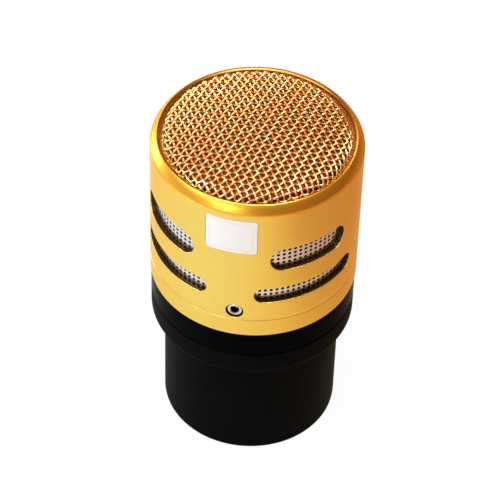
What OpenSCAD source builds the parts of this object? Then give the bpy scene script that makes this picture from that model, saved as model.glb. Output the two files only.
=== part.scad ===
// Cartridge of a handheld vocal microphone: a slotted, gold-anodised cap with a woven wire dome
// over a moving-coil capsule, carried by a black retaining ring and a rubber boot.
// Millimetres, +Z up, origin at the centre of the boot's foot; the cap's label faces -Y.

/* [Cap] */
// Outer diameter of the cap and of the base ring under it
cap_d = 34; // [32:0.1:37]
// Thickness of the cap's wall
cap_wall = 0.75; // [0.5:0.05:1]
// Height of the cap from the seam to the crest of its lip
cap_h = 24.85; // [24:0.05:30]
// Width of the lip, from the cap's outside to its opening
lip_w = 1.6; // [1.3:0.05:2]
// Thickness of the lip at its crest
lip_t = 0.85; // [0.6:0.05:1.2]
// Height of the bevel from the wall up to the crest
lip_bevel_h = 1.55; // [1:0.05:2]
// How far the bevel bulges out of a straight cone
lip_bulge = 0.2; // [0.05:0.05:0.3]
// Width and height of the fine step at the bevel's foot
lip_step = 0.1; // [0.05:0.01:0.15]
// Width of the small bevel inside the crest
lip_inner_w = 0.5; // [0.3:0.05:0.7]
// Drop of the small bevel inside the crest
lip_inner_h = 0.25; // [0.1:0.05:0.4]

/* [Slots] */
// Number of slot pairs round the cap
slot_count = 4; // [3:1:5]
// Height of the upper slots
upper_slot_h = 4.6; // [3:0.1:5]
// Arc that an upper slot covers, in degrees
upper_slot_arc = 47.4; // [30:0.1:50]
// Middle of the upper slots above the seam
upper_slot_z = 13.4; // [12.5:0.1:14.5]
// Height of the lower slots
lower_slot_h = 3.1; // [2:0.1:3.4]
// Arc that a lower slot covers, in degrees
lower_slot_arc = 63.6; // [40:0.1:66]
// Middle of the lower slots above the seam
lower_slot_z = 5.7; // [5.5:0.05:7]

/* [Label] */
// Width of the label, measured straight across
label_w = 8.3; // [5:0.1:10]
// Height of the label
label_h = 7; // [4:0.1:8]
// Corner radius of the label
label_corner_r = 0.7; // [0.3:0.05:1.2]
// Middle of the label above the seam
label_z = 18.55; // [16:0.05:19]
// Depth of the recess that the label lies in
label_recess = 0.1; // [0.06:0.01:0.2]

/* [Dome] */
// Gap between the lip's opening and the middle of the dome's cloth
dome_gap = 0.6; // [0.5:0.05:1]
// Radius of the dome's rounded shoulder
shoulder_r = 1.6; // [1.2:0.1:2.4]
// Slope of the crown where it meets the shoulder, in degrees
crown_slope = 14; // [8:0.5:20]
// Distance between neighbouring ridges of the weave
weave_pitch = 2.6; // [2.5:0.1:4]
// Width of a ridge of the weave
weave_w = 0.8; // [0.6:0.05:1.2]
// Thickness of a ridge of the weave
weave_t = 0.36; // [0.2:0.02:0.44]
// Rise and fall of a ridge over and under the ones it crosses
weave_rise = 0.13; // [0.08:0.01:0.16]
// Turn of the weave about the axis, in degrees
weave_turn = 38; // [0:1:90]
// Thickness of the fine gauze under the dome
gauze_t = 0.15; // [0.1:0.01:0.2]
// Height of the ring that clamps the dome's brim under the lip
clamp_h = 2.6; // [2:0.1:3.4]
// Width of the clamp ring
clamp_w = 1.8; // [1.4:0.1:2.2]

/* [Screen] */
// Thickness of the perforated sheet behind the slots
screen_t = 0.3; // [0.2:0.05:0.4]
// Distance between neighbouring perforations
screen_pitch = 2; // [1.8:0.1:3]
// Diameter of a perforation
screen_hole_d = 1.2; // [0.6:0.1:1.3]
// Thickness of the damping silk inside the sheet
silk_t = 0.2; // [0.1:0.05:0.3]

/* [Base ring] */
// Height of the base ring below the seam
base_h = 3.5; // [3:0.1:5]
// Height of the spigot that the cap slides over
spigot_h = 3.8; // [3.4:0.1:4]
// Height of the ledge that the capsule's housing sits on
ledge_h = 1.5; // [1:0.1:2]
// Height of the neck below the base ring
neck_h = 3.5; // [2.5:0.1:4]
// Wall of that neck
neck_wall = 2.45; // [1.8:0.05:2.8]
// Wall of the spigot
spigot_wall = 1.55; // [1.2:0.05:1.8]
// Width of the bevel on either side of the seam
seam_bevel = 0.08; // [0.02:0.02:0.2]

/* [Set screw] */
// Diameter of the set screw
screw_d = 2.5; // [2:0.1:2.6]
// Diameter of the clearance hole in the cap
screw_hole_d = 2.9; // [2.7:0.05:3.1]
// Middle of the screw above the seam
screw_z = 1.9; // [1.7:0.05:2]
// Turn of the screw from the label's middle, in degrees
screw_turn = 3; // [-8:0.5:8]
// Width of the screw's hexagon socket across its flats
socket_af = 1.3; // [0.9:0.05:1.5]
// Depth of the screw's socket
socket_depth = 1.2; // [0.8:0.1:1.4]

/* [Retaining ring and boot] */
// How far the retaining ring and the boot's collar lie inside the cap's outside
collar_step = 0.15; // [0.05:0.05:0.6]
// Wall of the retaining ring
ring_wall = 1.9; // [1.4:0.1:2.4]
// Height of the retaining ring
ring_h = 5; // [4.5:0.1:6]
// Height of the boot's collar
collar_h = 4.5; // [3:0.1:6]
// Wall of the boot's sleeve
sleeve_wall = 2.15; // [1.5:0.05:2.6]
// Height of the sleeve below the collar
sleeve_h = 21.5; // [16:0.1:30]
// Rounding of the boot's lower edges
boot_round = 0.9; // [0.4:0.1:1.2]
// Thickness of the inward foot that carries the terminal board
foot_t = 2.4; // [1.6:0.1:3]
// Width of that foot, from the sleeve's bore inwards
foot_w = 1.65; // [1:0.05:3]

/* [Capsule housing] */
// Wall of the housing's rear tube
tube_wall = 1.2; // [0.8:0.1:1.8]
// Gap between the silk and the body behind the slots
body_gap = 2.25; // [1.5:0.05:2.5]
// Wall of that body
body_wall = 1; // [0.7:0.1:1.4]
// Thickness of the housing's top flange
flange_t = 1.6; // [1:0.1:2]
// Thickness of the shelf under the magnet system
shelf_t = 1.6; // [1:0.1:2]
// Width of that shelf
shelf_w = 3.9; // [2.5:0.1:5]
// Number of side ports in the body
port_count = 8; // [6:1:10]
// Width of a side port
port_w = 4; // [2:0.1:5]
// Height of a side port
port_h = 6; // [3:0.1:7]

/* [Moving-coil system] */
// Thickness of the front plate
plate_t = 1; // [0.8:0.1:1.4]
// Height of the front plate's skirt
skirt_h = 2.2; // [2.1:0.1:3]
// Width of the rims that clamp the diaphragm
rim_w = 1.1; // [0.9:0.1:1.3]
// Number of holes round the front plate
plate_holes = 8; // [6:1:10]
// Diameter of a hole in the front plate
plate_hole_d = 3.2; // [2:0.1:3.6]
// Thickness of the diaphragm
diaphragm_t = 0.12; // [0.1:0.01:0.2]
// Height of the diaphragm's dome
diaphragm_rise = 1.7; // [1.2:0.1:1.8]
// Height of the spacer ring under the diaphragm
spacer_h = 1.8; // [1.4:0.1:2.4]
// Thickness of the pole plate and the pole piece
pole_t = 2; // [1.5:0.1:2.5]
// Outer height of the yoke
yoke_h = 8.5; // [7:0.1:9]
// Thickness of the yoke's bottom
yoke_base_t = 2; // [1.5:0.1:2.5]
// Thickness of the yoke's wall
yoke_wall = 1.8; // [1.5:0.1:2.2]
// Width of the duct between the yoke and the housing
duct_w = 0.6; // [0.4:0.1:0.8]
// Number of notches in the pole plate that lead the duct past it
notch_count = 8; // [6:1:10]
// Radius of a notch
notch_r = 1; // [0.8:0.1:1.3]
// Diameter of the magnet
magnet_d = 14; // [11:0.1:14.4]
// Diameter of the pole piece
pole_d = 14.6; // [14:0.1:15]
// Width of the air gap round the pole piece
air_gap = 0.9; // [0.8:0.05:1.1]
// Thickness of the voice coil
coil_t = 0.4; // [0.2:0.05:0.5]
// Length of the voice coil
coil_h = 4.2; // [3:0.1:5]
// Diameter of the vent in the yoke's bottom
vent_d = 3; // [1.5:0.1:5]

/* [Rear] */
// Thickness of the felt pad under the shelf
pad_t = 3; // [1.5:0.1:5]
// Thickness of the terminal board
board_t = 1.2; // [0.8:0.1:1.6]
// Distance between the two terminals
terminal_gap = 9; // [6:0.1:12]
// Diameter of a terminal's shank
terminal_d = 1.6; // [1:0.1:2]
// Diameter of a terminal's collar
terminal_collar_d = 2.8; // [2.4:0.1:3.4]
// Thickness of a terminal's collar
terminal_collar_t = 0.4; // [0.2:0.05:0.6]
// Reach of a terminal's lug past its collar
terminal_lug_h = 1.4; // [0.8:0.1:1.8]

/* [Fits] */
// Radial clearance between parts that slide into each other
fit = 0.05; // [0.02:0.01:0.1]
// Clearance round the dome's cloth and gauze
cloth_fit = 0.03; // [0.02:0.01:0.05]
// Clearance round the foam
foam_fit = 0.3; // [0.2:0.05:0.5]

/* [Hidden] */
$fn = 96;
eps = 0.01;

// Heights, from the foot upwards
z_collar = sleeve_h;
z_ring = z_collar + collar_h;
z_gold = z_ring + ring_h;
z_seam = z_gold + base_h;
z_crest = z_seam + cap_h;
z_lip = z_crest - lip_t;
z_spigot = z_seam + spigot_h;
z_ledge = z_gold + ledge_h;
z_neck = z_gold - neck_h;
z_board = foot_t;
z_tube = z_board + board_t;

// Radii, from the cap inwards
cap_r = cap_d / 2;
cap_in_r = cap_r - cap_wall;
slide_r = cap_in_r - fit;
lip_r = cap_r - lip_w;
crest_r = lip_r + lip_inner_w;
silk_r = slide_r - screen_t - fit;
seat_r = slide_r - spigot_wall - fit;
body_r = silk_r - silk_t - body_gap;
bore_r = body_r - body_wall;
stack_r = bore_r - fit;
collar_r = cap_r - collar_step;
collar_in_r = collar_r - ring_wall;
neck_r = collar_in_r - fit;
tube_r = neck_r - neck_wall - fit;
chamber_r = tube_r - tube_wall;
sleeve_in_r = tube_r + fit;
sleeve_r = sleeve_in_r + sleeve_wall;
foot_r = sleeve_in_r - foot_w;

// The dome's middle surface: a crown, a rounded shoulder, an upright wall and a brim under the lip
weave_half = weave_t / 2 + weave_rise;
dome_r = lip_r - dome_gap;
z_brim = z_lip - cloth_fit - weave_half;
crown_r = (dome_r - shoulder_r + shoulder_r * sin(crown_slope)) / sin(crown_slope);
brim_r = slide_r - cloth_fit;
wall_h = 2 * cloth_fit + weave_half / 2;
z_shoulder = z_brim + wall_h;
z_crown = z_shoulder + shoulder_r * cos(crown_slope) - crown_r * cos(crown_slope);
crown_len = crown_r * crown_slope * PI / 180;
shoulder_len = shoulder_r * (90 - crown_slope) * PI / 180;
cloth_r = crown_len + shoulder_len;
ridge_count = floor((cloth_r - weave_w) / weave_pitch);
ridge_reach = ceil(cloth_r / weave_pitch);

// The gauze and the foam follow the dome at these depths below its middle surface
gauze_top = weave_half + cloth_fit;
gauze_low = gauze_top + gauze_t;
foam_top = gauze_low + foam_fit;

// The stack that the clamp ring presses down
z_clamp = z_brim - gauze_low - cloth_fit;
z_face = z_clamp - clamp_h;
z_flange = z_face - flange_t;
z_rim = z_face - plate_t - skirt_h;
z_spacer = z_rim - diaphragm_t - spacer_h;
z_pole = z_spacer - pole_t;
z_shelf = z_pole - yoke_h;
z_chamber = z_shelf - shelf_t;
pole_r = pole_d / 2;
coil_r = pole_r + (air_gap - coil_t) / 2;
yoke_r = stack_r - duct_w;

// Points of an arc about [x, y], from angle a to angle b in n steps
function arc(x, y, r, a, b, n) = [for (i = [0:n]) [x + r * cos(a + (b - a) * i / n), y + r * sin(a + (b - a) * i / n)]];

// Points of the arc from p to q in n steps that bulges by h to the right of the way
function bulge(p, q, h, n) =
    let (c = norm(q - p) / 2, r = (c * c + h * h) / 2 / h, m = (p + q) / 2, d = (q - p) / 2 / c,
         o = m - (r - h) * [d[1], -d[0]], a = atan2(p[1] - o[1], p[0] - o[0]), w = asin(c / r))
    arc(o[0], o[1], r, a, a + 2 * w, n);

// Radius, height and tilt of the dome's middle surface at the length s from its top
function dome_at(s) =
    s < crown_len
        ? let (t = s / crown_r * 180 / PI) [crown_r * sin(t), z_crown + crown_r * cos(t), t]
        : let (t = crown_slope + (s - crown_len) / shoulder_r * 180 / PI)
          [dome_r - shoulder_r + shoulder_r * sin(t), z_shoulder + shoulder_r * cos(t), t];

// Point of the cloth at [x, y] in its flat pattern, raised by h along the dome's normal
function cloth_point(x, y, h) =
    let (d = dome_at(norm([x, y])), turn = atan2(y, x), r = d[0] + h * sin(d[2]))
    [r * cos(turn), r * sin(turn), d[1] + h * cos(d[2])];

// Height of a ridge at x along it: flat over or under each crossing, sloping in between
function weave_level(x) = weave_rise * max(-1, min(1, 1.5 * cos(180 * x / weave_pitch)));

// Section of the ridge that runs along x at the distance y from the middle, at height h
function ridge_section(x, y, h) = [for (c = [[-1, -0.4], [-0.45, 1], [0.45, 1], [1, -0.4], [0, -1]])
    cloth_point(x, y + c[0] * weave_w / 2, h + c[1] * weave_t / 2)];

// Places along a ridge at which it bends: both sides of each crossing, then round the shoulder
function ridge_stops(y) = concat(
    [for (j = [0:ridge_reach], side = [-1, 1])
        let (x = j * weave_pitch + side * weave_w / 2)
        if (x > 0 && norm([x, y]) < crown_len - weave_w / 2) x],
    [for (k = [0:4]) let (s = crown_len + shoulder_len * k / 4)
        if (s > abs(y) + weave_w / 2) sqrt(s * s - y * y)]);

// Outline of a layer at the depth d below the dome, from the axis out to its wall
function under_dome(d) = concat(
    arc(0, z_crown, crown_r - d, 90, 90 - crown_slope, 6),
    arc(dome_r - shoulder_r, z_shoulder, shoulder_r - d, 90 - crown_slope, 0, 8));

// Solid ring from radius a to radius b, from height z with height h
module ring(a, b, z, h) {
    translate([0, 0, z]) difference() {
        cylinder(r = b, h = h);
        if (a > 0) translate([0, 0, -1]) cylinder(r = a, h = h + 2);
    }
}

// Places children n times round the axis, the first one turned by start
module around(n, start = 0) {
    for (i = [0:n - 1]) rotate([0, 0, start + 360 * i / n]) children();
}

// Cutter for a slot with round ends that faces -Y, through radii a to b
module slot_cutter(a, b, z, h, arc_deg) {
    end_turn = asin(h / 2 / cap_r);
    sweep = arc_deg - 2 * end_turn;
    rotate([0, 0, -90 - sweep / 2]) rotate_extrude(angle = sweep)
        translate([a, z - h / 2]) square([b - a, h]);
    for (side = [-1, 1]) rotate([0, 0, side * sweep / 2])
        translate([0, -a, z]) rotate([90, 0, 0]) cylinder(d = h, h = b - a);
}

// Round bar along the screw's axis, from radius a to radius b
module screw_bar(d, a, b, sides = 0) {
    rotate([0, 0, screw_turn]) translate([0, -a, z_seam + screw_z]) rotate([90, 0, 0])
        cylinder(d = d, h = b - a, $fn = sides > 0 ? sides : $fn);
}

// Rounded rectangle of the label, pushed out along -Y; grow widens it all round
module label_block(a, b, grow = 0) {
    w = label_w + 2 * grow;
    h = label_h + 2 * grow;
    r = label_corner_r + grow;
    translate([0, -a, z_seam + label_z]) rotate([90, 0, 0]) linear_extrude(height = b - a) union() {
        square([w - 2 * r, h], center = true);
        square([w, h - 2 * r], center = true);
        for (x = [-1, 1], y = [-1, 1]) translate([x * (w / 2 - r), y * (h / 2 - r)]) circle(r = r);
    }
}

module rubber_boot() {
    edge = boot_round / 3;
    color("#1b1b1d") rotate_extrude() polygon(concat(
        [[foot_r, 0]],
        arc(sleeve_r - boot_round, boot_round, boot_round, -90, 0, 5),
        [[sleeve_r, z_collar]],
        arc(collar_r - boot_round, z_collar + boot_round, boot_round, -90, 0, 5),
        arc(collar_r - edge, z_ring - edge, edge, 0, 90, 3),
        [[neck_r - fit, z_ring], [neck_r - fit, z_neck], [sleeve_in_r, z_neck]],
        [[sleeve_in_r, foot_t], [foot_r, foot_t]]));
}

module retaining_ring() {
    edge = boot_round / 3;
    color("#0b0b0c") rotate_extrude() polygon([
        [collar_in_r, z_ring], [collar_r - edge, z_ring], [collar_r, z_ring + edge],
        [collar_r, z_gold - edge], [collar_r - edge, z_gold], [collar_in_r, z_gold]]);
}

module base_ring() {
    color("#d9a43a") difference() {
        rotate_extrude() polygon([
            [sleeve_in_r, z_neck], [neck_r, z_neck], [neck_r, z_gold],
            [cap_r - seam_bevel, z_gold], [cap_r, z_gold + seam_bevel],
            [cap_r, z_seam - seam_bevel], [cap_r - seam_bevel, z_seam],
            [slide_r, z_seam], [slide_r, z_spigot - seam_bevel], [slide_r - seam_bevel, z_spigot],
            [seat_r + fit, z_spigot], [seat_r + fit, z_ledge], [sleeve_in_r, z_ledge]]);
        screw_bar(screw_d + fit, tube_r, cap_r);
    }
}

module grille_cap() {
    z_bevel = z_crest - lip_bevel_h;
    color("#e0ab3c") difference() {
        rotate_extrude() polygon(concat(
            [[cap_in_r, z_seam], [cap_r - seam_bevel, z_seam], [cap_r, z_seam + seam_bevel]],
            [[cap_r, z_bevel]],
            bulge([cap_r - lip_step, z_bevel + lip_step], [crest_r, z_crest], lip_bulge, 7),
            [[lip_r, z_crest - lip_inner_h], [lip_r, z_lip], [cap_in_r, z_lip]]));
        around(slot_count, 180 / slot_count) {
            slot_cutter(cap_in_r - 1, cap_r + 1, z_seam + upper_slot_z, upper_slot_h, upper_slot_arc);
            slot_cutter(cap_in_r - 1, cap_r + 1, z_seam + lower_slot_z, lower_slot_h, lower_slot_arc);
        }
        screw_bar(screw_hole_d, cap_in_r - 1, cap_r + 1);
        intersection() {
            label_block(cap_in_r - 1, cap_r + 1, fit);
            ring(cap_r - label_recess, cap_r + 1, z_seam, cap_h);
        }
    }
}

module set_screw() {
    tip_r = seat_r + fit / 2;
    head_r = cap_r - label_recess;
    point_h = screw_d / 5;
    color("#c9ccd0") difference() {
        union() {
            screw_bar(screw_d, tip_r + point_h, head_r);
            screw_bar(screw_d - 2 * point_h, tip_r, tip_r + point_h + eps);
        }
        screw_bar(socket_af / cos(30), head_r - socket_depth, head_r + 1, 6);
    }
}

module label() {
    color("#f2f2f0") intersection() {
        label_block(cap_in_r, cap_r + 1);
        ring(cap_r - label_recess + fit / 3, cap_r, z_seam, cap_h);
    }
}

module mesh_dome() {
    color("#d8c9a0") union() {
        for (family = [0, 1], i = [-ridge_count:ridge_count]) {
            y = i * weave_pitch;
            far = ridge_stops(y);
            stops = concat([for (k = [len(far) - 1:-1:0]) -far[k]], far);
            side = pow(-1, family + abs(i));
            rotate([0, 0, weave_turn + 90 * family]) for (k = [1:len(stops) - 1]) {
                a = ridge_section(stops[k - 1], y, side * weave_level(stops[k - 1]));
                b = ridge_section(stops[k], y, side * weave_level(stops[k]));
                hull() polyhedron(points = concat(a, b), faces = [[for (n = [0:9]) n]]);
            }
        }
        rotate_extrude($fn = 72) polygon([
            [dome_r - weave_half, z_brim - weave_half], [brim_r, z_brim - weave_half],
            [brim_r, z_brim + weave_half], [dome_r + weave_half, z_brim + weave_half],
            [dome_r + weave_t / 2, z_shoulder + weave_half], [dome_r - weave_t / 2, z_shoulder + weave_half]]);
    }
}

module inner_gauze() {
    outer = under_dome(gauze_top);
    inner = under_dome(gauze_low);
    color("#b9782f") rotate_extrude() polygon(concat(
        outer,
        [[dome_r - gauze_top, z_brim - gauze_top], [brim_r, z_brim - gauze_top]],
        [[brim_r, z_brim - gauze_low], [dome_r - gauze_low, z_brim - gauze_low]],
        [for (k = [len(inner) - 1:-1:0]) inner[k]]));
}

module clamp_ring() {
    color("#7d7f83") ring(slide_r - clamp_w, slide_r, z_face, clamp_h);
}

module perforated_screen() {
    step = 2 * asin(screen_pitch / 2 / slide_r);
    rows_up = [[lower_slot_z, lower_slot_h, lower_slot_arc], [upper_slot_z, upper_slot_h, upper_slot_arc]];
    color("#c9c4c8") difference() {
        ring(slide_r - screen_t, slide_r, z_spigot, z_flange - z_spigot);
        around(slot_count, 180 / slot_count) for (slot = rows_up) {
            rows = 1 + floor((slot[1] - screen_hole_d) / screen_pitch);
            columns = 1 + floor((slot[2] - step / 2) / step);
            for (i = [0:columns - 1], j = [0:rows - 1])
                rotate([0, 0, (i - (columns - 1) / 2) * step])
                    translate([0, -silk_r, z_seam + slot[0] + (j - (rows - 1) / 2) * screen_pitch])
                        rotate([90, 0, 0]) cylinder(d = screen_hole_d, h = cap_r - silk_r);
        }
    }
}

module damping_silk() {
    color("#2a2624") ring(silk_r - silk_t, silk_r, z_spigot, z_flange - z_spigot);
}

module foam_disc() {
    bottom = z_face + foam_fit;
    color("#4a4038") rotate_extrude() polygon(concat(
        [[0, bottom]], under_dome(foam_top), [[dome_r - foam_top, bottom]]));
}

module capsule_housing() {
    seat_top = z_spigot - fit;
    color("#303134") difference() {
        rotate_extrude() polygon([
            [chamber_r, z_tube], [tube_r, z_tube], [tube_r, z_ledge], [seat_r, z_ledge],
            [seat_r, seat_top], [body_r, seat_top], [body_r, z_flange],
            [slide_r, z_flange], [slide_r, z_face], [bore_r, z_face],
            [bore_r, z_shelf], [bore_r - shelf_w, z_shelf], [bore_r - shelf_w, z_chamber],
            [chamber_r, z_chamber]]);
        around(port_count) translate([-port_w / 2, -cap_r, z_shelf + (z_pole - z_shelf - port_h) / 2])
            cube([port_w, cap_r - yoke_r, port_h]);
    }
}

module front_plate() {
    ring_of_holes = (stack_r - rim_w + plate_hole_d / 2) / 2;
    color("#8b8d92") difference() {
        union() {
            ring(0, stack_r, z_face - plate_t, plate_t);
            ring(stack_r - rim_w, stack_r, z_rim, skirt_h + plate_t / 2);
        }
        translate([0, 0, z_rim]) cylinder(d = plate_hole_d, h = z_face);
        around(plate_holes) translate([0, -ring_of_holes, z_rim]) cylinder(d = plate_hole_d, h = z_face);
    }
}

module diaphragm() {
    z = z_rim - diaphragm_t;
    cap = coil_r + coil_t;
    r = (cap * cap + diaphragm_rise * diaphragm_rise) / 2 / diaphragm_rise;
    edge = asin(cap / r);
    color("#c9b26a") rotate_extrude() polygon(concat(
        arc(0, z_rim + diaphragm_rise - r, r, 90, 90 - edge, 8),
        [[stack_r, z_rim], [stack_r, z]],
        arc(0, z + diaphragm_rise - r, r, 90 - edge, 90, 8)));
}

module voice_coil() {
    color("#b5652b") ring(coil_r, coil_r + coil_t, z_rim - diaphragm_t - coil_h, coil_h);
}

module spacer_ring() {
    color("#8b8d92") ring(stack_r - rim_w, stack_r, z_spacer, spacer_h);
}

module pole_plate() {
    color("#9a9ca0") difference() {
        ring(pole_r + air_gap, stack_r, z_pole, pole_t);
        around(notch_count, 180 / notch_count) translate([0, -stack_r, z_pole - 1])
            cylinder(r = notch_r, h = pole_t + 2);
    }
}

module pole_piece() {
    color("#9a9ca0") ring(0, pole_r, z_pole, pole_t);
}

module magnet() {
    color("#55585c") ring(0, magnet_d / 2, z_shelf + yoke_base_t, yoke_h - yoke_base_t);
}

module yoke() {
    color("#85878b") difference() {
        rotate_extrude() polygon([
            [vent_d / 2, z_shelf], [yoke_r, z_shelf], [yoke_r, z_pole], [yoke_r - yoke_wall, z_pole],
            [yoke_r - yoke_wall, z_shelf + yoke_base_t], [vent_d / 2, z_shelf + yoke_base_t]]);
    }
}

module felt_pad() {
    color("#5c5a55") ring(0, chamber_r - foam_fit, z_chamber - pad_t, pad_t);
}

module terminal_board() {
    color("#6b4a2c") difference() {
        ring(0, tube_r, z_board, board_t);
        for (side = [-1, 1]) translate([side * terminal_gap / 2, 0, z_board - 1])
            cylinder(d = terminal_d + 2 * fit, h = board_t + 2);
    }
}

module terminals() {
    lug_w = terminal_d * 0.8;
    below = z_board - terminal_collar_t;
    color("#cbb98a") for (side = [-1, 1]) translate([side * terminal_gap / 2, 0, 0]) {
        ring(0, terminal_d / 2, below, board_t + 2 * terminal_collar_t);
        ring(0, terminal_collar_d / 2, below, terminal_collar_t);
        ring(0, terminal_collar_d / 2, z_tube, terminal_collar_t);
        translate([-lug_w / 2, -terminal_collar_t / 2, below - terminal_lug_h])
            cube([lug_w, terminal_collar_t, terminal_lug_h + terminal_collar_t / 2]);
    }
}

rubber_boot();
retaining_ring();
base_ring();
grille_cap();
set_screw();
label();
mesh_dome();
inner_gauze();
clamp_ring();
perforated_screen();
damping_silk();
foam_disc();
capsule_housing();
front_plate();
diaphragm();
voice_coil();
spacer_ring();
pole_plate();
pole_piece();
magnet();
yoke();
felt_pad();
terminal_board();
terminals();
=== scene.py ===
import math
import bmesh
import bpy
import numpy as np
from mathutils import Matrix, Vector
from mathutils.geometry import delaunay_2d_cdt


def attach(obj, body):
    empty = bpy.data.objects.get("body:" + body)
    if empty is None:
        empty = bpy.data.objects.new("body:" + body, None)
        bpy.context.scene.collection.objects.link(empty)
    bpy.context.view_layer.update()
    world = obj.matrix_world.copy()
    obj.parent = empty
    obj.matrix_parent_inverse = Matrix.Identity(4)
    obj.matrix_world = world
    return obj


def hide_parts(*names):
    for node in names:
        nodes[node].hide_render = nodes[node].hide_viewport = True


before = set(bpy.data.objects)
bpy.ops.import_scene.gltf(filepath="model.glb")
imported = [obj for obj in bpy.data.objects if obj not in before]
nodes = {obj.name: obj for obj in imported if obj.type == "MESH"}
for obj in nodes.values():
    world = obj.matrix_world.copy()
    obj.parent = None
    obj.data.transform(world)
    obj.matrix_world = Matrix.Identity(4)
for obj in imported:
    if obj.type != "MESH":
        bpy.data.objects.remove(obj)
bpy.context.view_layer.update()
mm = 0.001  # sizes below are in millimetres, and the meshes in metres
goldFoot = 31.0  # height of the gold ring's lower edge above the boot's foot
fineStep, wideStep = 0.45, 0.8  # spacing of the points along edges and over smooth walls
print("stage: frame loaded,", len(nodes), "nodes")


viewSet = {"azimuth": 12.4, "elevation": 45.54, "roll": 1.903, "distance": 406.6, "focalPixels": 2470.8,
           "framePixels": 500, "sensor": 36, "aimRight": -0.605, "aimUp": 2.258, "clip": (0.01, 10)}


def placeCamera(s):
    # back is the way from the aim to the camera; right and up turn about it by the roll
    a, e, r = (math.radians(s[k]) for k in ("azimuth", "elevation", "roll"))
    right = np.array([math.cos(a), math.sin(a), 0])
    back = np.array([math.sin(a) * math.cos(e), -math.cos(a) * math.cos(e), math.sin(e)])
    up = np.cross(back, right)
    aim = s["aimRight"] * right + np.array([0, 0, goldFoot + s["aimUp"]])
    place = (aim + s["distance"] * back) * mm
    turned = np.column_stack([math.cos(r) * right + math.sin(r) * up, math.cos(r) * up - math.sin(r) * right, back])
    lensData = bpy.data.cameras.new("camera")
    lensData.lens, lensData.sensor_width = s["focalPixels"] / s["framePixels"] * s["sensor"], s["sensor"]
    lensData.clip_start, lensData.clip_end = s["clip"]
    cam = bpy.data.objects.new("camera", lensData)
    cam.matrix_world = Matrix.Translation(Vector(place)) @ Matrix(turned.tolist()).to_4x4()
    bpy.context.scene.collection.objects.link(cam)
    bpy.context.scene.camera = cam


placeCamera(viewSet)


class Val:  # a socket's value inside one finish
    def __init__(self, finish, socket):
        self.finish, self.socket = finish, socket

    def math(self, operation, *others):
        return self.finish.node("Math", {"operation": operation}, [self, *others])

    def __add__(self, o): return self.math("ADD", o)
    def __mul__(self, o): return self.math("MULTIPLY", o)
    def __sub__(self, o): return self.math("SUBTRACT", o)
    def __rsub__(self, o): return self.finish.node("Math", {"operation": "SUBTRACT"}, [o, self])
    def __pow__(self, o): return self.math("POWER", o)
    __radd__, __rmul__ = __add__, __mul__

    def cut(self, low, high): return self.finish.node("MapRange", {"clamp": True}, [self, low, high, 0.0, 1.0])
    def sin(self): return self.math("SINE")
    def abs(self): return self.math("ABSOLUTE")
    def most(self, o): return self.math("MAXIMUM", o)


class Finish:  # a material, or the world where one is given
    def __init__(self, name, world=None):
        self.material = world or bpy.data.materials.new(name)
        self.material.use_nodes = True
        self.tree = self.material.node_tree
        self.shader = next(n for n in self.tree.nodes if n.type in ("BSDF_PRINCIPLED", "BACKGROUND"))
        self.here = Val(self, self.tree.nodes.new("ShaderNodeTexCoord").outputs["Generated" if world else "Object"])

    def node(self, kind, settings=None, values=(), out=0):
        # settings are set first, and values go to the sockets in order or by name
        n = self.tree.nodes.new("ShaderNode" + kind)
        for k, v in (settings or {}).items():
            setattr(n, k, v)
        pairs = values.items() if isinstance(values, dict) else enumerate(values)
        for k, v in pairs:
            self.plug(n.inputs[k], v)
        return Val(self, n.outputs[out])

    def plug(self, socket, v):
        if isinstance(v, Val):
            self.tree.links.new(v.socket, socket)
        elif isinstance(v, tuple) and len(v) == 3 and len(socket.default_value) == 4:
            socket.default_value = (*v, 1)
        elif v is not None:
            socket.default_value = v

    def axes(self):
        n = self.tree.nodes.new("ShaderNodeSeparateXYZ")
        self.plug(n.inputs[0], self.here)
        return [Val(self, o) for o in n.outputs]

    def rays(self):
        n = self.tree.nodes.new("ShaderNodeLightPath")
        return [Val(self, n.outputs["Is " + kind + " Ray"]) for kind in ("Camera", "Glossy", "Transmission")]

    def vector(self, x, y, z): return self.node("CombineXYZ", None, [x, y, z])

    def noise(self, scale, detail=2.0, where=None, rough=0.5):  # scale in cells per metre
        return self.node("TexNoise", None, {"Vector": where or self.here, "Scale": scale, "Detail": detail,
                                            "Roughness": rough})

    def mix(self, amount, a, b):  # a where the amount is 0, b where it is 1
        n = self.tree.nodes.new("ShaderNodeMix")
        n.data_type = "RGBA"
        for socket, v in zip((n.inputs[0], n.inputs[6], n.inputs[7]), (amount, a, b)):
            self.plug(socket, v)
        return Val(self, n.outputs[2])

    def bump(self, height, distance, strength=1.0):
        return self.node("Bump", None, {"Strength": strength, "Distance": distance, "Height": height})

    def wear(self, **values):
        # sets the surface shader's sockets; underscores stand for spaces
        for k, v in values.items():
            self.plug(self.shader.inputs[k.replace("_", " ")], v)
        return self.material


def dress(nodeName, material):
    mesh = nodes[nodeName].data
    mesh.materials.clear()
    mesh.materials.append(material)


stageSet = {"floorTone": (0.86, 0.86, 0.86), "floorDim": 0.98, "floorHalf": 1.5, "whiteShare": 0.95,
            "mirrorShare": 0.82, "rightward": (0.977, 0.215), "mirrorCuts": (-0.035, 0.020, 0.055),
            "mirrorTones": ((0.96, 1.0, 1.0), (0.98, 0.74, 0.39), (0.58, 0.23, 0.085)),
            "skyCuts": (-0.85, 0.65), "skyLeft": (1.0, 0.97, 0.90), "skyRight": (0.17, 0.075, 0.025),
            "skyTopCut": 0.36, "skyTop": (0.30, 0.165, 0.065), "skyWhiteShare": 0.04}


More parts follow.
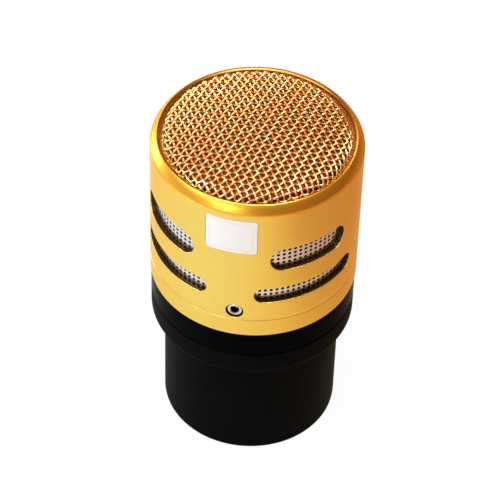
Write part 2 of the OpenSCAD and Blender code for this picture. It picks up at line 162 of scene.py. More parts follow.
def makeStage(s):
    finish = Finish("floorPaper")
    # broad noise dims the paper's tone a little in places
    dimmed = tuple(s["floorDim"] * c for c in s["floorTone"])
    tone = finish.mix(finish.noise(60, 3), s["floorTone"], dimmed)
    finish.wear(Base_Color=tone, Roughness=0.9, Specular_IOR_Level=0.1)
    # seen directly or through glass the paper is white, and the rest of it takes the object's shadow;
    # polished metal mirrors it as white on one side and in a warm, dimmer tone on the other
    camera, glossy, through = finish.rays()
    x, y, z = finish.axes()
    rightX, rightY = s["rightward"]
    across = x * rightX + y * rightY
    (left, middle, right), (a, b, c) = s["mirrorTones"], s["mirrorCuts"]
    tone = finish.mix(across.cut(b, c), finish.mix(across.cut(a, b), left, middle), right)
    mirrored = finish.node("Emission", None, [tone, 1.0])
    glow = finish.node("Emission", None, [(1, 1, 1), 1.0])
    paper = Val(finish, finish.shader.outputs[0])
    mixed = finish.node("MixShader", None, [glossy * s["mirrorShare"], paper, mirrored])
    mixed = finish.node("MixShader", None, [(camera + through) * s["whiteShare"], mixed, glow])
    finish.tree.links.new(mixed.socket, finish.tree.nodes["Material Output"].inputs[0])
    half = s["floorHalf"]
    mesh = bpy.data.meshes.new("floor")
    mesh.from_pydata([(-half, -half, 0), (half, -half, 0), (half, half, 0), (-half, half, 0)], [], [(0, 1, 2, 3)])
    mesh.materials.append(finish.material)
    floor = bpy.data.objects.new("floor", mesh)
    bpy.context.scene.collection.objects.link(floor)

    world = bpy.data.worlds.new("studio")
    bpy.context.scene.world = world
    # the sky pales from right to left, and one even tone takes its place from a little over the horizon upwards
    sky = Finish("studio", world)
    x, y, z = sky.axes()
    around = sky.mix((x * -rightX + y * -rightY).cut(*s["skyCuts"]), s["skyRight"], s["skyLeft"])
    sky.plug(sky.shader.inputs[0], sky.mix(z.cut(0.0, s["skyTopCut"]), around, s["skyTop"]))
    white = sky.node("Background", None, [(1, 1, 1), 1.0])
    camera, glossy, through = sky.rays()
    seen = camera + glossy * s["skyWhiteShare"] + through
    mixed = sky.node("MixShader", None, [seen, Val(sky, sky.shader.outputs[0]), white])
    sky.tree.links.new(mixed.socket, sky.tree.nodes["World Output"].inputs[0])


lampAim = 0.035  # height on the axis that every lamp faces, m
lampSet = {
    "softKey": {"from": (-0.12, -0.39, 0.25), "size": (0.15, 0.12), "power": 0.40, "tint": (1, 1, 0.98)},
    "softTop": {"from": (0.04, -0.07, 0.50), "size": (0.28, 0.18), "power": 2.1, "tint": (1, 1, 1)},
    "softLeft": {"from": (-0.175, -0.105, 0.29), "size": (0.16, 0.16), "power": 0.54, "tint": (0.98, 1, 0.95)},
    "softSide": {"from": (-0.30, 0.09, 0.06), "size": (0.09, 0.08), "power": 0.30, "tint": (1, 1, 1)},
    "softBack": {"from": (-0.24, 0.32, 0.25), "size": (0.14, 0.10), "power": 0.50, "tint": (1, 1, 1)},
}


def makeLamps(s):
    for name, lamp in s.items():
        data = bpy.data.lights.new(name, "AREA")
        data.shape, data.size, data.size_y = "RECTANGLE", *lamp["size"]
        data.energy, data.color = lamp["power"], lamp["tint"]
        place = Vector(lamp["from"])
        obj = bpy.data.objects.new(name, data)
        turn = (place - Vector((0, 0, lampAim))).to_track_quat("Z", "Y")
        obj.matrix_world = Matrix.Translation(place) @ turn.to_matrix().to_4x4()
        bpy.context.scene.collection.objects.link(obj)


makeStage(stageSet)
makeLamps(lampSet)
bpy.context.scene.view_settings.view_transform = "Standard"
print("stage: camera, floor and lamps")


def gridFaces(rows, columns):
    # quads of a rows x columns grid of points, whose last column joins the first
    r, c = np.arange(rows - 1)[:, None], np.arange(columns)[None, :]
    d = (c + 1) % columns
    quads = np.stack([r * columns + c, r * columns + d, (r + 1) * columns + d, (r + 1) * columns + c], -1)
    return quads.reshape(-1, 4)


weldGap = 2e-6  # metres


def buildPiece(name, parts, material, replaced, sharpAngle, weld=True):
    # parts is a list of (points in mm, faces); they are welded where they meet, and faces point outwards
    points = np.concatenate([p for p, f in parts])
    starts = np.cumsum([0] + [len(p) for p, f in parts[:-1]])
    faces = [f + s for (p, f), s in zip(parts, starts)]
    mesh = bpy.data.meshes.new(name)
    mesh.vertices.add(len(points))
    mesh.vertices.foreach_set("co", (points * mm).astype(np.float32).ravel())
    corners = np.concatenate([f.ravel() for f in faces])
    totals = np.concatenate([np.full(len(f), f.shape[1]) for f in faces])
    mesh.loops.add(len(corners))
    mesh.loops.foreach_set("vertex_index", corners.astype(np.int32))
    mesh.polygons.add(len(totals))
    mesh.polygons.foreach_set("loop_start", np.concatenate([[0], np.cumsum(totals)[:-1]]).astype(np.int32))
    mesh.update(calc_edges=True)
    if weld:
        bm = bmesh.new()
        bm.from_mesh(mesh)
        bmesh.ops.remove_doubles(bm, verts=bm.verts, dist=weldGap)
        bmesh.ops.recalc_face_normals(bm, faces=bm.faces)
        openEdges = sum(1 for e in bm.edges if len(e.link_faces) != 2)
        bm.to_mesh(mesh)
        bm.free()
        print("  ", name, "open edges:", openEdges)
    mesh.validate()
    mesh.shade_smooth()
    mesh.set_sharp_from_angle(angle=math.radians(sharpAngle))
    mesh.materials.append(material)
    piece = bpy.data.objects.new(name, mesh)
    bpy.context.scene.collection.objects.link(piece)
    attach(piece, "root")
    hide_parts(replaced)
    print("   made", name, "with", sum(len(p.vertices) - 2 for p in mesh.polygons), "triangles")


def turnedSurface(profile, steps):
    # a profile of (radius, height) carried round the axis: x = r sin t, y = -r cos t, z = height
    profile = np.asarray(profile, float)
    t = np.linspace(-math.pi, math.pi, steps, endpoint=False)
    r, z = profile[:, :1], profile[:, 1:]
    points = np.stack([r * np.sin(t), -r * np.cos(t), z + 0 * t], -1).reshape(-1, 3)
    return points, gridFaces(len(profile), steps)


def arcOf(x, y, r, a, b, n):
    # points of an arc about (x, y) from angle a to angle b, in degrees
    t = np.radians(np.linspace(a, b, n + 1))
    return np.stack([x + r * np.cos(t), y + r * np.sin(t)], -1)


# heights are above the gold ring's foot; a slot has a middle height, a height and an arc in degrees, the label a
# middle height, a width, a height and a corner radius, and the screw hole a height, a turn in degrees and a radius
capSet = {"radius": 17.0, "wall": 0.75, "seam": 3.5, "seamBevel": 0.08, "seamEase": 0.024, "edgeRound": 0.05,
          "slotTurns": (45, 135, 225, 315), "upperSlot": (16.9, 4.6, 47.4), "lowerSlot": (9.2, 3.1, 63.6),
          "label": (22.05, 8.3, 7.0, 0.42), "pocket": 0.1, "pocketGap": 0.04, "pocketSlope": 0.03,
          "screw": (5.4, 3.0, 1.45), "bevelFoot": 26.65, "footEase": ((0.025, 0.02), (0.03, 0.05)),
          "footRound": (0.2, 0.55), "footBulge": 0.05, "bevelBulge": 0.06, "crest": 28.35, "crestRadius": 15.9,
          "crestEase": ((0.03, 0.02), (0.05, 0.01)), "lipHole": 15.4, "lipUnder": 27.5, "lipBevel": (0.05, 0.23),
          "lipEdge": 0.07, "steps": 240, "endSteps": 14, "cornerSteps": 6, "gridMargin": 0.16, "gridStart": 0.3,
          "innerStep": 3.0, "sliver": 1e-5}


def bulge(start, end, high, n):
    # points of the arc from start to end whose middle stands high to the right of the straight way
    p, q = np.array(start, float), np.array(end, float)
    half = np.linalg.norm(q - p) / 2
    r = (half ** 2 + high ** 2) / 2 / high
    d = (q - p) / 2 / half
    x, y = (p + q) / 2 - (r - high) * np.array([d[1], -d[0]])
    a, wide = math.degrees(math.atan2(p[1] - y, p[0] - x)), math.degrees(math.asin(half / r))
    return arcOf(x, y, r, a, a + 2 * wide, n)


def wrapped(flat, radius, s=capSet):
    # carries flat (along the girth at the outer radius, height) onto a cylinder of another radius
    t = flat[:, 0] / s["radius"]
    return np.stack([radius * np.sin(t), -radius * np.cos(t), flat[:, 1] + goldFoot], -1)


def slotLoop(centre, slot, grow, s=capSet):
    # outline with round ends: half circles at both ends of a straight run, all widened by grow
    mid, tall, arc = slot
    run = math.radians(arc) / 2 * s["radius"] - tall / 2
    r = tall / 2 + grow
    n = max(8, int(run * 2 / fineStep))
    line = np.linspace(-run, run, n + 1)
    top = np.stack([-line, np.full(n + 1, r)], -1)
    low = np.stack([line, np.full(n + 1, -r)], -1)
    left = arcOf(-run, 0, r, 90, 270, s["endSteps"])[1:-1]
    right = arcOf(run, 0, r, -90, 90, s["endSteps"])[1:-1]
    loop = np.concatenate([top, left, low, right])
    return loop + [math.radians((centre + 180) % 360 - 180) * s["radius"], mid]


def cornerLoop(mid, wide, tall, corner, grow, s=capSet):
    # rectangle with round corners, widened by grow: a quarter circle at each corner and points along the sides
    w, h, r = wide / 2 - corner, tall / 2 - corner, corner + grow
    sides = []
    for cx, cy, a in ((w, h, 0), (-w, h, 90), (-w, -h, 180), (w, -h, 270)):
        sides.append(arcOf(cx, cy, r, a, a + 90, s["cornerSteps"]))
    corners = np.concatenate(sides)
    nextOnes = np.roll(corners, -1, 0)
    gap = np.linalg.norm(nextOnes - corners, axis=1)
    pieces = [np.linspace(p, q, max(2, int(g / fineStep) + 1), endpoint=False)
              for p, q, g in zip(corners, nextOnes, gap)]
    return np.concatenate(pieces) + [0, mid]


def ringLoop(u, mid, radius, n=32):
    # a full circle of n points, the last one step short of the first
    return arcOf(u, mid, radius, 0, 360 - 360 / n, n - 1)


def insideLoop(points, loop):
    # even-odd rule, for all points against all edges at once
    a, b = loop, np.roll(loop, -1, 0)
    x, y = points[:, :1], points[:, 1:]
    cross = (a[:, 1] > y) != (b[:, 1] > y)
    with np.errstate(divide="ignore", invalid="ignore"):
        at = (b[:, 0] - a[:, 0]) * (y - a[:, 1]) / (b[:, 1] - a[:, 1]) + a[:, 0]
    return (cross & (x < at)).sum(1) % 2 == 1


def flatSheet(low, high, loops, gapZ, keepInside=None, s=capSet):
    # a flat strip with holes, or the inside of one outline, cut into triangles between outlines and a grid of points
    if keepInside is None:
        u = np.linspace(-math.pi, math.pi, s["steps"] + 1) * s["radius"]
        z = np.linspace(low, high, max(2, int((high - low) / gapZ) + 1))
    else:
        u = np.arange(keepInside[:, 0].min(), keepInside[:, 0].max(), fineStep)
        z = np.arange(keepInside[:, 1].min() + s["gridStart"], keepInside[:, 1].max(), gapZ)
    grid = np.stack(np.meshgrid(u, z), -1).reshape(-1, 2)
    rings, margin = (loops, s["gridMargin"]) if keepInside is None else ([keepInside], -s["gridMargin"])
    keep = np.ones(len(grid), bool)
    for loop in rings:
        middle = loop.mean(0)
        size = np.abs(loop - middle).max(0)
        wide = middle + (loop - middle) * (1 + margin / size)
        hit = insideLoop(grid, wide)
        keep &= hit if keepInside is not None else ~hit
    grid = grid[keep]
    ends = [len(grid) + sum(len(k) for k in rings[:i]) for i in range(len(rings))]
    points = np.concatenate([grid] + rings)
    edges = np.concatenate([np.stack([e + np.arange(len(k)), e + (np.arange(len(k)) + 1) % len(k)], -1)
                            for e, k in zip(ends, rings)])
    out = delaunay_2d_cdt([Vector(p) for p in points.tolist()], edges.tolist(), [], 0, 1e-6)
    points = np.array([p[:] for p in out[0]])
    faces = np.array(out[2])
    middles = points[faces].mean(1)
    a, b = points[faces[:, 1]] - points[faces[:, 0]], points[faces[:, 2]] - points[faces[:, 0]]
    keep = np.abs(a[:, 0] * b[:, 1] - a[:, 1] * b[:, 0]) > s["sliver"]  # no slivers along straight outlines
    for loop in rings:
        hit = insideLoop(middles, loop)
        keep &= hit if keepInside is not None else ~hit
    return points, faces[keep]


def throughWall(loopAt, outer, inner, edge):
    # one ring of points for each step: a quarter circle rounds the outer edge, then the hole's wall runs inwards
    t = np.radians([0, 22.5, 45, 67.5, 90])
    steps = [(edge * (1 - math.sin(a)), outer - edge * (1 - math.cos(a))) for a in t] + [(0.0, inner)]
    rings = [wrapped(loopAt(grow), r) for grow, r in steps]
    return np.concatenate(rings), gridFaces(len(rings), len(rings[0]))


def goldCap(s, material):
    # outer and inner wall, both with the holes cut out, the holes' walls, the label's pocket, the lip and the foot
    outer, inner, e, slope = s["radius"], s["radius"] - s["wall"], s["edgeRound"], s["pocketSlope"]
    slots = [(c, k) for c in s["slotTurns"] for k in (s["upperSlot"], s["lowerSlot"])]
    holes = [(lambda g, c=c, k=k: slotLoop(c, k, g)) for c, k in slots]
    mid, turn, hole = s["screw"]
    holes.append(lambda g: ringLoop(math.radians(turn) * outer, mid, hole + g))
    pocket = lambda g: cornerLoop(*s["label"], g + s["pocketGap"])
    low, high = s["seam"] + s["seamBevel"], s["bevelFoot"]
    parts = []
    flat, faces = flatSheet(low, high, [h(e) for h in holes] + [pocket(slope)], wideStep)
    parts.append((wrapped(flat, outer), faces))
    flat, faces = flatSheet(s["seam"], s["lipUnder"], [h(0) for h in holes], s["innerStep"])
    parts.append((wrapped(flat, inner), faces))
    parts += [throughWall(h, outer, inner, e) for h in holes]
    rim, floorRim = wrapped(pocket(slope), outer), wrapped(pocket(0), outer - s["pocket"])
    parts.append((np.concatenate([rim, floorRim]), gridFaces(2, len(rim))))
    flat, faces = flatSheet(0, 0, [], wideStep, keepInside=pocket(0))
    parts.append((wrapped(flat, outer - s["pocket"]), faces))
    # the lip: a rounded foot, a broad and nearly flat bevel up to the crest, a small bevel inwards, the underside
    f, c, k, bore = s["bevelFoot"], s["crest"], s["crestRadius"], s["lipHole"]
    (easeR, easeZ), (startR, startZ), (kr, kz) = *s["footEase"], s["footRound"]
    (outR, outZ), (inR, inZ), (bevelR, bevelZ) = *s["crestEase"], s["lipBevel"]
    bevel = np.concatenate([[[outer, f], [outer - easeR, f + easeZ]],
                            bulge([outer - startR, f + startZ], [outer - kr, f + kz], s["footBulge"], 6),
                            bulge([outer - kr, f + kz], [k + outR, c - outZ], s["bevelBulge"], 10)[1:]])
    lip = np.array([[k - inR, c - inZ], [bore + bevelR, c - bevelZ], [bore, c - bevelZ - s["lipEdge"]],
                    [bore, s["lipUnder"]], [inner, s["lipUnder"]]])
    top = np.concatenate([bevel, lip]) + [0, goldFoot]
    v, ease = s["seamBevel"], s["seamEase"]
    foot = np.array([[inner, s["seam"]], [outer - v, s["seam"]], [outer - ease, s["seam"] + ease],
                     [outer, s["seam"] + v]]) + [0, goldFoot]
    parts += [turnedSurface(top, s["steps"]), turnedSurface(foot, s["steps"])]
    buildPiece("goldCap", parts, material, "grille_cap", 40)


# the label's size is in capSet, where its pocket is cut; these are its gap to the pocket's floor and its border line
labelSet = {"backGap": 0.02, "inset": 0.7, "corner": 0.55, "lineHalf": (0.05, 0.11)}


def labelPlate(s, cap, material):
    # a thin plate in the cap's pocket: the face level with the wall, the back and the cut edge
    loop = cornerLoop(*cap["label"], 0)
    front, back = cap["radius"], cap["radius"] - cap["pocket"] + s["backGap"]
    flat, faces = flatSheet(0, 0, [], wideStep, keepInside=loop)
    parts = [(wrapped(flat, front), faces), (wrapped(flat, back), faces[:, ::-1]),
             (np.concatenate([wrapped(loop, front), wrapped(loop, back)]), gridFaces(2, len(loop)))]
    buildPiece("labelPlate", parts, material, "label", 40)


# rise is how high each family of wires waves, and pitchAlong how far apart its wires lie
domeSet = {"wallRadius": 14.8, "shoulder": 1.6, "slope": 14.0, "wallHeight": 0.08, "wire": 0.2, "rise": (0.25, 0.045),
           "pitchAlong": (0.96, 1.03), "turn": 37.7, "perPitch": 7, "edgeGap": 0.25,
           "brim": 27.16, "brimRadius": 16.15, "brimHalf": 0.29, "collarHalf": 0.12, "collarFoot": 0.02,
           "collarTop": 0.34, "brimSteps": 180}


def domeAt(s, along):
    # radius, height and tilt at the arc length from the top: a wide crown, a tight shoulder, then straight down
    slope = math.radians(s["slope"])
    crown = (s["wallRadius"] - s["shoulder"] + s["shoulder"] * math.sin(slope)) / math.sin(slope)
    crownLength, shoulderLength = crown * slope, s["shoulder"] * (math.pi / 2 - slope)
    zShoulder = s["brim"] + s["wallHeight"] + goldFoot
    zCrown = zShoulder + (s["shoulder"] - crown) * math.cos(slope)
    t1 = along / crown
    t2 = np.minimum(slope + (along - crownLength) / s["shoulder"], math.pi / 2)
    down = np.maximum(along - crownLength - shoulderLength, 0)
    top = along < crownLength
    r = np.where(top, crown * np.sin(t1), s["wallRadius"] - s["shoulder"] + s["shoulder"] * np.sin(t2))
    z = np.where(top, zCrown + crown * np.cos(t1), zShoulder + s["shoulder"] * np.cos(t2) - down)
    return r, z, np.where(top, t1, t2), crownLength + shoulderLength


def clothPoint(s, x, y, height):
    # the flat cloth's point (x, y) laid on the dome: its distance from the middle becomes the arc length from the top
    r, z, tilt, _ = domeAt(s, np.hypot(x, y))
    turn = np.arctan2(y, x)
    out = np.stack([np.cos(turn) * np.sin(tilt), np.sin(turn) * np.sin(tilt), np.cos(tilt)], -1)
    return np.stack([r * np.cos(turn), r * np.sin(turn), z], -1) + height[:, None] * out, out


def wovenDome(s, material):
    # each wire is a tube along a straight line of the cloth, which waves over and under the ones it crosses
    reach = domeAt(s, np.zeros(1))[3] + s["wallHeight"]
    parts = []
    around = np.linspace(0, 2 * math.pi, 8, endpoint=False)
    eightCap = np.array([[0, 1, 2, 3], [0, 3, 4, 7], [4, 5, 6, 7]])  # three quads close an eight-sided end
    for family in (0, 1):
        apart, crossed = s["pitchAlong"][family], s["pitchAlong"][1 - family]
        count = int((reach - s["edgeGap"]) / apart)
        for i in range(-count, count + 1):
            y = i * apart
            half = math.sqrt(reach ** 2 - y ** 2)
            n = max(6, int(2 * half / crossed * s["perPitch"]))
            x = np.linspace(-half, half, n)
            sign = -1.0 if (i + family) % 2 else 1.0
            wave = s["rise"][family] * sign * np.cos(math.pi * x / crossed)
            a = math.radians(s["turn"] + 90 * family)
            # both families are laid in one pattern, turned about the axis
            px, py = x * math.cos(a) - y * math.sin(a), x * math.sin(a) + y * math.cos(a)
            centre, out = clothPoint(s, px, py, wave)
            ahead = np.gradient(centre, axis=0)
            ahead /= np.linalg.norm(ahead, axis=1, keepdims=True)
            side = np.cross(ahead, out)
            side /= np.linalg.norm(side, axis=1, keepdims=True)
            lift = np.cross(side, ahead)
            ring = np.cos(around)[None, :, None] * lift[:, None] + np.sin(around)[None, :, None] * side[:, None]
            tube = (centre[:, None] + s["wire"] * ring).reshape(-1, 3)
            ends = np.concatenate([eightCap[:, ::-1], eightCap + (n - 1) * 8])
            parts.append((tube, np.concatenate([gridFaces(n, 8), ends])))
    # the brim is a flat ring with a low collar that takes the wires' ends; its last ring of points joins the first
    w, b, k, n = s["wallRadius"], s["brim"] + goldFoot, s["brimHalf"], s["brimSteps"]
    h, top = s["collarHalf"], b + s["collarTop"]
    brim = [(w - k, b - k), (s["brimRadius"], b - k), (s["brimRadius"], b + k), (w + k, b + k),
            (w + k, b + k + s["collarFoot"]), (w + h, top), (w - h, top)]
    points, faces = turnedSurface(brim, n)
    c = np.arange(n)
    last, d = c + n * (len(brim) - 1), (c + 1) % n
    parts.append((points, np.concatenate([faces, np.stack([last, d + last[0], d, c], -1)])))
    # each wire is closed by itself, and crossing wires are separate, so nothing is welded
    buildPiece("wovenDome", parts, material, "mesh_dome", 50, weld=False)


# each band of holes has a middle height and a number of rows
sheetSet = {"outer": 16.2, "inner": 15.9, "low": 7.3, "high": 22.44, "columns": 110, "rise": 0.85, "hole": 0.28,
            "bands": ((9.2, 4), (16.9, 6)), "sides": 12}


def perforatedSheet(s, material):
    # square cells round the axis, each a ring of quads between its border and a round hole, outside and inside
    n, outer, inner = s["sides"], s["outer"], s["inner"]
    a = np.radians(45 + 360 / n * np.arange(n))
    hole = np.stack([np.cos(a), np.sin(a)], -1)
    corner = np.array([[1, 1], [-1, 1], [-1, -1], [1, -1], [1, 1]]) / 2
    border = np.concatenate([np.linspace(corner[i], corner[i + 1], n // 4, endpoint=False) for i in range(4)])
    wide = 2 * math.pi * outer / s["columns"]
    parts, edges = [], [s["low"]]
    for mid, rows in s["bands"]:
        c, r = np.meshgrid(np.arange(s["columns"]), np.arange(rows) - (rows - 1) / 2)
        centre = np.stack([c.ravel() * wide, mid + r.ravel() * s["rise"]], -1)[:, None]
        outline = centre + border * [wide, s["rise"]]
        opening = centre + hole * s["hole"]
        rings = []
        for flat, radius in ((outline, outer), (opening, outer), (opening, inner), (outline, inner)):
            t = flat[..., 0] / outer
            rings.append(np.stack([radius * np.sin(t), -radius * np.cos(t), flat[..., 1] + goldFoot], -1))
        points = np.stack(rings, 1).reshape(-1, 3)
        cells = len(centre)
        one = gridFaces(4, n)
        parts.append((points, (one[None] + 4 * n * np.arange(cells)[:, None, None]).reshape(-1, 4)))
        edges += [mid - rows * s["rise"] / 2, mid + rows * s["rise"] / 2]
    edges.append(s["high"])
    # plain rings fill the sheet between the bands, above and below them, and close its two edges
    t = np.arange(s["columns"] * 3) / (s["columns"] * 3) * 2 * math.pi + math.pi / s["columns"]
    for low, high in zip(edges[0::2], edges[1::2]):
        for radius in (outer, inner):
            z = np.array([[low], [high]]) + goldFoot
            points = np.stack([radius * np.sin(t) + 0 * z, -radius * np.cos(t) + 0 * z, z + 0 * t], -1).reshape(-1, 3)
            parts.append((points, gridFaces(2, len(t))))
    for z in (s["low"], s["high"]):
        ends = np.concatenate([np.stack([r * np.sin(t), -r * np.cos(t), 0 * t + z + goldFoot], -1)
                               for r in (outer, inner)])
        parts.append((ends, gridFaces(2, len(t))))
    buildPiece("perforatedSheet", parts, material, "perforated_screen", 40)


def goldFinish(name, tone, deep, lines, paintedShadeRadius=0.0):
    # turned lines are noise that varies with height alone; the dye's depth wanders a little over the surface; where a
    # shade radius is given, the lip above the bevel's foot is painted a deeper yellow as a painted reflection, with
    # painted shade in brown inside its crest, and what lies below the lip and nearer the axis than that radius, the
    # inside of the tube, is dull and painted dark as shade
    f = Finish(name)
    x, y, z = f.axes()
    fine = f.noise(1.0, 3, f.vector(0.0, 0.0, z * 5200.0))
    broad = f.noise(1.0, 2, f.vector(x * 40.0, y * 40.0, z * 900.0))
    grain = f.noise(9000.0, 2)
    colour = f.mix(f.noise(120.0, 3) * 0.5 + broad * 0.3, tone, deep)
    rough = 0.27 + broad * 0.10 + fine * 0.06 * lines
    if paintedShadeRadius:
        bevel = goldFoot + capSet["bevelFoot"]
        lip = z.cut((bevel - 0.2) * mm, (bevel - 0.1) * mm)
        away, crest = (x ** 2.0 + y ** 2.0) ** 0.5, capSet["crestRadius"]
        # painted shade: the tube's inside and the walls of its holes are painted near black
        inside = (1 - away.cut((paintedShadeRadius - 0.12) * mm, (paintedShadeRadius - 0.04) * mm)) * (1 - lip)
        # painted shade: a brown band just inside the lip's crest
        paintedCrestShade = (1 - away.cut((crest - 0.16) * mm, (crest + 0.02) * mm)) * lip
        # painted reflection: the lip is painted a deeper yellow than the wall
        paintedLipTone = f.mix(broad, (0.93, 0.52, 0.050), (0.89, 0.44, 0.035))
        colour = f.mix(lip, f.mix(inside, colour, (0.055, 0.024, 0.008)), paintedLipTone)
        colour = f.mix(paintedCrestShade * 0.85, colour, (0.30, 0.10, 0.012))
        rough = rough + inside * 0.3
    return f.wear(Base_Color=colour, Metallic=1.0, Roughness=rough, Specular_Tint=(1.0, 0.66, 0.30, 1.0),
                  Normal=f.bump(fine * 0.7 * lines + grain * 0.3, 0.00001, 0.6), Coat_Weight=0.40, Coat_Roughness=0.28)


# head and tip are distances from the capsule's axis, and middle is the height above the gold ring's foot
screwSet = {"radius": 1.25, "head": 16.76, "tip": 14.625, "point": 0.5, "rim": 0.24, "flats": 1.3, "chamfer": 0.12,
            "chamferDepth": 0.156, "depth": 1.2, "drill": 0.3, "middle": 5.4, "turn": 3.0, "steps": 72,
            "rimTurns": (0, 20, 40, 60, 80), "socketShadeFrom": 0.78, "socketShadeFull": 0.66}


def socketScrew(s, material):
    # rings about the screw's own axis: the blunt tip, its cone, a quarter circle round the rim, the chamfered mouth and
    # the socket's six flats, where the radius is half the width across flats over the cosine of the turn from a flat
    r, head, rim = s["radius"], s["head"], s["rim"]
    t = np.linspace(0, 2 * math.pi, s["steps"], endpoint=False)
    six = s["flats"] / 2 / np.cos((t + math.pi / 6) % (math.pi / 3) - math.pi / 6)
    mouth = np.full_like(t, s["flats"] / 2 / math.cos(math.pi / 6) + s["chamfer"])
    rings = [(0 * t, s["tip"]), (0 * t + r - s["point"], s["tip"]), (0 * t + r, s["tip"] + s["point"])]
    for a in np.radians(s["rimTurns"]):
        rings.append((0 * t + r - rim + rim * math.cos(a), head - rim + rim * math.sin(a)))
    rings += [(mouth, head), (six, head - s["chamferDepth"]), (six, head - s["depth"]),
              (0 * t, head - s["depth"] - s["drill"])]
    # the drilled bottom of the socket is a shallow cone; the axis points out of the cap at the given turn
    w = math.radians(s["turn"])
    points = []
    for ring, out in rings:
        side = ring * np.cos(t)
        points.append(np.stack([out * math.sin(w) + side * math.cos(w), -out * math.cos(w) + side * math.sin(w),
                                goldFoot + s["middle"] + ring * np.sin(t)], -1))
    faces = gridFaces(len(rings), s["steps"])
    buildPiece("socketScrew", [(np.concatenate(points), faces)], material, "set_screw", 30)


def wireFinish():
    # pale gold that turns copper in soft patches a few wires wide, with fine scratches in the bump
    f = Finish("domeWire")
    patch = f.noise(420.0, 3)
    scratch = f.noise(5000.0, 2)
    return f.wear(Base_Color=f.mix(patch, (1.0, 0.76, 0.39), (0.84, 0.39, 0.10)), Metallic=1.0,
                  Roughness=0.24 + patch * 0.10, Normal=f.bump(scratch, 0.000006, 0.5))


def gauzeFinish():
    # the greater of two sine waves across each other draws the fine cloth: bright on the threads, and painted shade,
    # near black, in the gaps
    f = Finish("fineGauze")
    x, y, z = f.axes()
    turn, wave = math.radians(22), 0.42 * mm
    u, v = x * math.cos(turn) + y * math.sin(turn), y * math.cos(turn) - x * math.sin(turn)
    k = 2 * math.pi / wave
    threads = (u * k).sin().abs().most((v * k).sin().abs())
    shade = threads.cut(0.45, 0.95)
    # painted shade: the gaps between the threads are painted near black
    return f.wear(Base_Color=f.mix(shade, (0.014, 0.002, 0.001), (0.23, 0.034, 0.005)), Metallic=0.85,
                  Roughness=0.34 + f.noise(800.0, 2) * 0.2, Normal=f.bump(threads, 0.00005, 0.7))


def sheetFinish():
    # rolled metal: noise stretched round the sheet, ten times finer in height, tints it and varies its gloss
    f = Finish("brightSheet")
    x, y, z = f.axes()
    rolled = f.noise(1.0, 3, f.vector(x * 300.0, y * 300.0, z * 3000.0))
    return f.wear(Base_Color=f.mix(rolled, (0.80, 0.78, 0.80), (0.66, 0.64, 0.67)), Metallic=1.0,
                  Roughness=0.16 + rolled * 0.12, Normal=f.bump(rolled, 0.000008, 0.5))


def screwFinish(s):
    # the distance from the screw's own axis paints shade into the socket in near black: full inside one radius, none
    # outside the other
    f = Finish("screwSteel")
    x, y, z = f.axes()
    w = math.radians(s["turn"])
    away = ((x * math.cos(w) + y * math.sin(w)) ** 2.0 + (z - (goldFoot + s["middle"]) * mm) ** 2.0) ** 0.5
    socket = 1 - away.cut(s["socketShadeFull"] * mm, s["socketShadeFrom"] * mm)
    grain = f.noise(4000.0, 3)
    steel = f.mix(grain, (0.82, 0.80, 0.81), (0.66, 0.63, 0.64))
    # painted shade: the hex socket is painted near black
    return f.wear(Base_Color=f.mix(socket, steel, (0.016, 0.017, 0.018)), Metallic=1.0, Roughness=0.10 + grain * 0.12,
                  Normal=f.bump(grain, 0.000006, 0.5))


def steelFinish(name, tone, rough, scale=2500.0):
    # fine grain varies the gloss, and broad stains darken the tone by up to about a fifth
    f = Finish(name)
    grain = f.noise(scale, 4)
    stain = f.noise(180.0, 2)
    return f.wear(Base_Color=f.mix(stain, tone, tuple(0.78 * c for c in tone)), Metallic=1.0,
                  Roughness=rough + grain * 0.12, Normal=f.bump(grain, 0.00001, 0.5))


def labelFinish(s):
    # the thin inset border lies where the distance to a smaller rectangle equals the corner's radius
    f = Finish("labelFoil")
    x, y, z = f.axes()
    mid, wide, tall, _ = capSet["label"]
    gap, (full, none) = s["inset"] + s["corner"], s["lineHalf"]
    u = x.abs() - (wide / 2 - gap) * mm
    v = (z - (goldFoot + mid) * mm).abs() - (tall / 2 - gap) * mm
    away = ((u.most(0.0) ** 2.0 + v.most(0.0) ** 2.0) ** 0.5 - s["corner"] * mm).abs()
    line = 1 - away.cut(full * mm, none * mm)
    paper = f.mix(f.noise(900.0, 3), (0.76, 0.79, 0.85), (0.72, 0.75, 0.81))
    return f.wear(Base_Color=f.mix(line * 0.8, paper, (0.78, 0.66, 0.38)), Roughness=0.34 + f.noise(600.0, 2) * 0.12,
                  Normal=f.bump(f.noise(2500.0, 3), 0.00001, 0.35))


def blackRingFinish():
    # turned lines vary with height alone, and a fine dust dulls the gloss
    f = Finish("blackRing")
    x, y, z = f.axes()
    turned = f.noise(1.0, 3, f.vector(0.0, 0.0, z * 4000.0))
    dust = f.noise(3000.0, 4)
    colour = f.mix(dust, (0.0010, 0.0010, 0.0012), (0.0022, 0.0022, 0.0026))
    return f.wear(Base_Color=colour, Roughness=0.20 + dust * 0.10, Normal=f.bump(turned, 0.000008, 0.5),
                  Specular_IOR_Level=0.5, IOR=1.04)


def rubberFinish():
    # a faint moulded grain with a paler bloom on it
    f = Finish("bootRubber")
    grain = f.noise(5200.0, 4, rough=0.6)
    colour = f.mix(f.noise(140.0, 3), (0.0010, 0.0013, 0.0019), (0.0022, 0.0026, 0.0035))
    return f.wear(Base_Color=colour, Roughness=0.46 + grain * 0.16, Normal=f.bump(grain, 0.00002, 0.5),
                  Specular_IOR_Level=0.5, IOR=1.07)


def mouldedFinish(name, tone, rough, scale, depth):
    # one fine grain makes both gloss and bump, and broad clouds darken the tone by up to about a third
    f = Finish(name)
    grain = f.noise(scale, 4, rough=0.6)
    colour = f.mix(f.noise(200.0, 3), tone, tuple(0.7 * c for c in tone))
    return f.wear(Base_Color=colour, Roughness=rough + grain * 0.15, Normal=f.bump(grain, depth, 0.6))


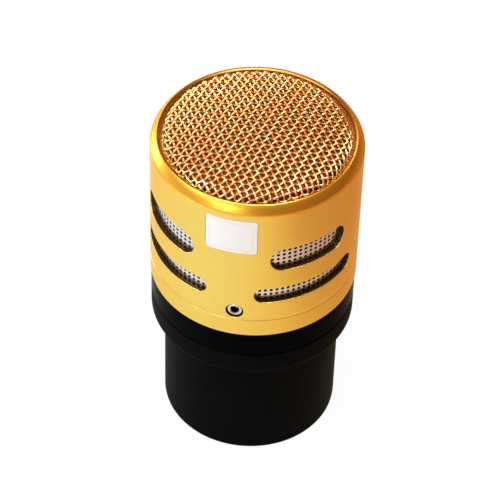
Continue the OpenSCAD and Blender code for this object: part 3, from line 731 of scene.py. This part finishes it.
def threadFinish(name, tone, dark, pitch, radius):
    # a plain weave: the product of a sine wave in height and one along the girth, which is the turn times the radius
    f = Finish(name)
    x, y, z = f.axes()
    k = math.pi / (pitch * mm)
    girth = f.node("Math", {"operation": "ARCTAN2"}, [x, y]) * (radius * mm)
    threads = ((z * k).sin() * (girth * k).sin()).abs()
    return f.wear(Base_Color=f.mix(threads, dark, tone), Roughness=0.85, Normal=f.bump(threads, 0.00003, 0.7))


def spongeFinish(name, tone, dark, scale):
    # the distance to the nearest of many scattered points makes the cells: dark in their middles, pale between them
    f = Finish(name)
    cells = f.node("TexVoronoi", {"feature": "F1"}, {"Vector": f.here, "Scale": scale})
    return f.wear(Base_Color=f.mix(cells, dark, tone), Roughness=0.95, Normal=f.bump(cells, 0.0001, 0.8))


def laminateFinish():
    # the product of two sine waves is the glass cloth's weave, and broad noise clouds the resin
    f = Finish("boardLaminate")
    x, y, z = f.axes()
    weave = ((x * 9000.0).sin() * (y * 9000.0).sin()).abs()
    colour = f.mix(f.noise(160.0, 4) * 0.6 + weave * 0.2, (0.24, 0.14, 0.07), (0.13, 0.07, 0.035))
    return f.wear(Base_Color=colour, Roughness=0.42 + weave * 0.15, Normal=f.bump(weave, 0.00001, 0.5))


capGold = goldFinish("capGold", (0.88, 0.665, 0.150), (0.84, 0.59, 0.110), 0.6, capSet["radius"])
ringGold = goldFinish("ringGold", (0.87, 0.64, 0.140), (0.83, 0.56, 0.100), 1.0)
goldCap(capSet, capGold)
labelPlate(labelSet, capSet, labelFinish(labelSet))
wovenDome(domeSet, wireFinish())
perforatedSheet(sheetSet, sheetFinish())
socketScrew(screwSet, screwFinish(screwSet))
print("stage: cap, label, dome, sheet and screw")

plainAlu = steelFinish("plainAlu", (0.62, 0.63, 0.65), 0.30)
poleSteel = steelFinish("poleSteel", (0.50, 0.51, 0.53), 0.34)
finishes = {
    "base_ring": ringGold, "inner_gauze": gauzeFinish(), "clamp_ring": plainAlu, "front_plate": plainAlu,
    "spacer_ring": plainAlu, "pole_plate": poleSteel, "pole_piece": poleSteel, "yoke": poleSteel,
    "magnet": steelFinish("magnetGrain", (0.26, 0.27, 0.29), 0.45, 5000.0),
    "damping_silk": threadFinish("silk", (0.030, 0.027, 0.025), (0.006, 0.005, 0.005), 0.12, 16.0),
    "foam_disc": spongeFinish("foam", (0.16, 0.13, 0.10), (0.04, 0.03, 0.025), 1600.0),
    "felt_pad": spongeFinish("felt", (0.30, 0.29, 0.27), (0.16, 0.155, 0.145), 3500.0),
    "capsule_housing": mouldedFinish("housingPlastic", (0.045, 0.045, 0.05), 0.42, 3000.0, 0.00001),
    "diaphragm": mouldedFinish("film", (0.72, 0.60, 0.32), 0.18, 2500.0, 0.000005),
    "voice_coil": steelFinish("coilCopper", (0.66, 0.29, 0.13), 0.30), "terminal_board": laminateFinish(),
    "terminals": steelFinish("tinnedTags", (0.74, 0.66, 0.46), 0.26), "retaining_ring": blackRingFinish(),
    "rubber_boot": rubberFinish(),
}
for nodeName, material in finishes.items():
    dress(nodeName, material)
print("stage: finishes")
